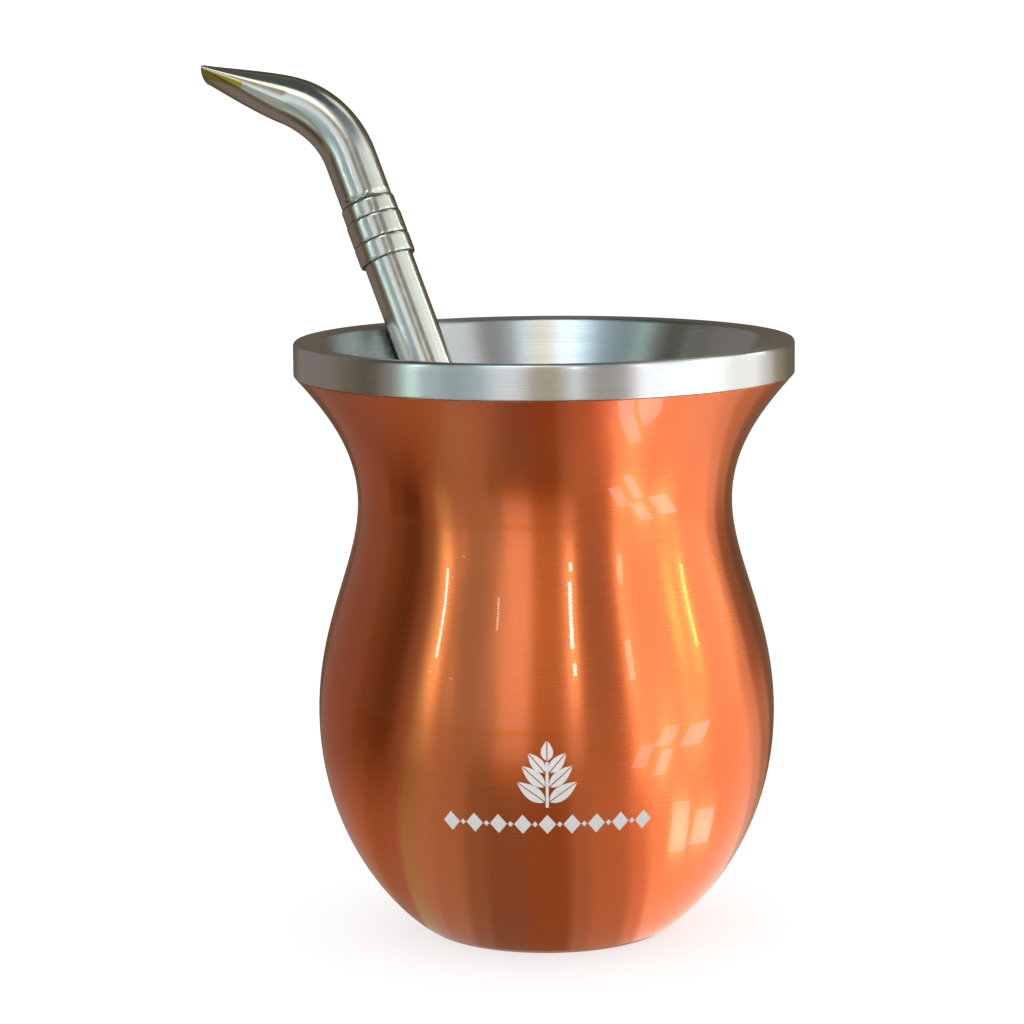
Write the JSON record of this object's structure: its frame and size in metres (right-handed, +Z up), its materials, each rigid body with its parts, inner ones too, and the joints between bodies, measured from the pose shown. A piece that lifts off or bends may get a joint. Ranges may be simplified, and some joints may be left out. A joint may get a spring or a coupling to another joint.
{
  "type": "mate cup with metal straw",
  "caption": "Empty gourd-shaped mate cup of double-walled steel with a lacquered shell and a bare steel rim, and a bent metal straw with a strainer leaning in it.",
  "frame": {"origin": "centre of the foot, on the surface the cup stands on", "axes": "+Z up the cup's axis, -Y towards the cup's front with the printed mark, the straw leans to -X and +Y"},
  "size_m": [0.1017, 0.0853, 0.1459],
  "materials": {
    "copper_lacquer": "clear orange-copper lacquer over brushed steel, glossy",
    "satin_steel": "satin, brushed round the rim",
    "polished_steel": "polished stainless steel",
    "white_print": "white screen-printed ink"
  },
  "bodies": {
    "root": {"cup_shell": "copper_lacquer", "cup_liner": "satin_steel", "straw_stem": "polished_steel", "straw_strainer": "polished_steel", "straw_mouthpiece": "polished_steel", "straw_ring_1": "polished_steel", "straw_ring_2": "polished_steel", "straw_ring_3": "polished_steel"}
  },
  "joints": []
}
